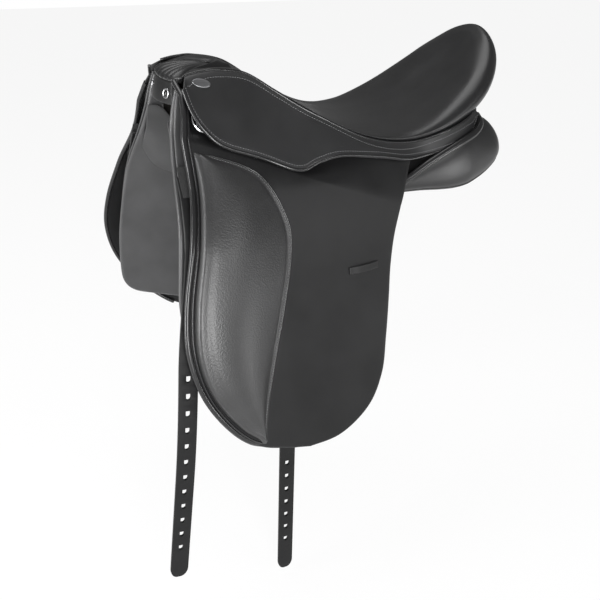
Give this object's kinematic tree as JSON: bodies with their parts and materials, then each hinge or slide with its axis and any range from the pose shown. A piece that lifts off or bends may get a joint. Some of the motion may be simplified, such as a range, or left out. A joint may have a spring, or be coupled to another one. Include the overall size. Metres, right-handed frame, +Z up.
{
  "type": "dressage saddle",
  "caption": "Deep-seated leather riding saddle with straight flaps, padded knee blocks, stuffed panels, a sprung tree with stirrup bars, and punched girth straps.",
  "frame": {"origin": "in the gullet, on the level that the panels bear on, between the twist and the deepest part of the seat", "axes": "+X to the cantle, +Y to the off (right) side, +Z up"},
  "size_m": [0.5633, 0.5124, 0.731],
  "materials": {
    "tree_wood": "bare laminated wood",
    "steel": "plain steel",
    "bright_steel": "polished",
    "webbing": "woven web",
    "foam": "open foam",
    "panel_leather": "smooth soft leather",
    "soft_leather": "soft fine-grain leather",
    "bridle_leather": "smooth firm leather"
  },
  "bodies": {
    "saddle": {"tree_head": "tree_wood", "near_rail": "tree_wood", "off_rail": "tree_wood", "tree_cantle": "tree_wood", "head_plate": "steel", "gullet_plate": "steel", "near_spring": "steel", "off_spring": "steel", "near_stirrup_bar": "bright_steel", "off_stirrup_bar": "bright_steel", "near_catch_pin": "bright_steel", "off_catch_pin": "bright_steel", "bar_rivets": "bright_steel", "seat_webs": "webbing", "near_girth_web": "webbing", "off_girth_web": "webbing", "seat_foam": "foam", "seat_cover": "soft_leather", "pommel_roll": "soft_leather", "pommel_facing": "bridle_leather", "head_nails": "bright_steel", "near_skirt_band": "bridle_leather", "off_skirt_band": "bridle_leather", "skirt_plate": "bright_steel", "near_flap_head": "bridle_leather", "off_flap_head": "bridle_leather", "near_chape": "bridle_leather", "off_chape": "bridle_leather", "near_panel": "panel_leather", "off_panel": "panel_leather", "near_gusset_roll": "panel_leather", "off_gusset_roll": "panel_leather", "near_panel_flap": "panel_leather", "off_panel_flap": "panel_leather", "near_sweat_flap": "bridle_leather", "off_sweat_flap": "bridle_leather"},
    "near_flap": {"near_flap": "bridle_leather", "near_knee_pad": "soft_leather", "near_keeper": "bridle_leather"},
    "off_flap": {"off_flap": "bridle_leather", "off_knee_pad": "soft_leather", "off_keeper": "bridle_leather"},
    "near_skirt": {"near_skirt": "bridle_leather"},
    "off_skirt": {"off_skirt": "bridle_leather"},
    "near_front_strap": {"near_front_strap": "bridle_leather"},
    "off_front_strap": {"off_front_strap": "bridle_leather"},
    "near_rear_strap": {"near_rear_strap": "bridle_leather"},
    "off_rear_strap": {"off_rear_strap": "bridle_leather"},
    "near_dee": {"near_dee": "bright_steel"},
    "off_dee": {"off_dee": "bright_steel"},
    "near_bar_catch": {"near_bar_catch": "bright_steel"},
    "off_bar_catch": {"off_bar_catch": "bright_steel"}
  },
  "joints": [
    {"name": "near_flap_lift", "type": "hinge", "parent": "saddle", "child": "near_flap", "pos_m": [-0.214, -0.10533, 0.085], "axis": [-0.9242, 0.1816, 0.3359], "range_deg": [0, 70]},
    {"name": "near_skirt_lift", "type": "hinge", "parent": "saddle", "child": "near_skirt", "pos_m": [-0.199, -0.08732, 0.119], "axis": [-0.9516, 0.147, 0.2701], "range_deg": [0, 35]},
    {"name": "near_front_strap_swing", "type": "hinge", "parent": "saddle", "child": "near_front_strap", "pos_m": [-0.2115, -0.1147, 0.032], "axis": [0, 1, 0], "range_deg": [-3, 3]},
    {"name": "near_rear_strap_swing", "type": "hinge", "parent": "saddle", "child": "near_rear_strap", "pos_m": [-0.111, -0.11178, 0.024], "axis": [0, 1, 0], "range_deg": [-3, 3]},
    {"name": "near_dee_swing", "type": "hinge", "parent": "saddle", "child": "near_dee", "pos_m": [-0.18, -0.08556, 0.101], "axis": [0.7585, -0.2302, -0.6097], "range_deg": [-12, 5]},
    {"name": "near_catch_turn", "type": "hinge", "parent": "saddle", "child": "near_bar_catch", "pos_m": [-0.063, -0.05977, 0.09137], "axis": [0, 0.6691, 0.7431], "range_deg": [0, 40]},
    {"name": "off_flap_lift", "type": "hinge", "parent": "saddle", "child": "off_flap", "pos_m": [-0.214, 0.10533, 0.085], "axis": [0.9242, 0.1816, -0.3359], "range_deg": [0, 70]},
    {"name": "off_skirt_lift", "type": "hinge", "parent": "saddle", "child": "off_skirt", "pos_m": [-0.199, 0.08732, 0.119], "axis": [0.9516, 0.147, -0.2701], "range_deg": [0, 35]},
    {"name": "off_front_strap_swing", "type": "hinge", "parent": "saddle", "child": "off_front_strap", "pos_m": [-0.2115, 0.1147, 0.032], "axis": [0, 1, 0], "range_deg": [-3, 3]},
    {"name": "off_rear_strap_swing", "type": "hinge", "parent": "saddle", "child": "off_rear_strap", "pos_m": [-0.111, 0.11178, 0.024], "axis": [0, 1, 0], "range_deg": [-3, 3]},
    {"name": "off_dee_swing", "type": "hinge", "parent": "saddle", "child": "off_dee", "pos_m": [-0.18, 0.08556, 0.101], "axis": [-0.7585, -0.2302, 0.6097], "range_deg": [-12, 5]},
    {"name": "off_catch_turn", "type": "hinge", "parent": "saddle", "child": "off_bar_catch", "pos_m": [-0.063, 0.05977, 0.09137], "axis": [0, 0.6691, -0.7431], "range_deg": [0, 40]}
  ]
}
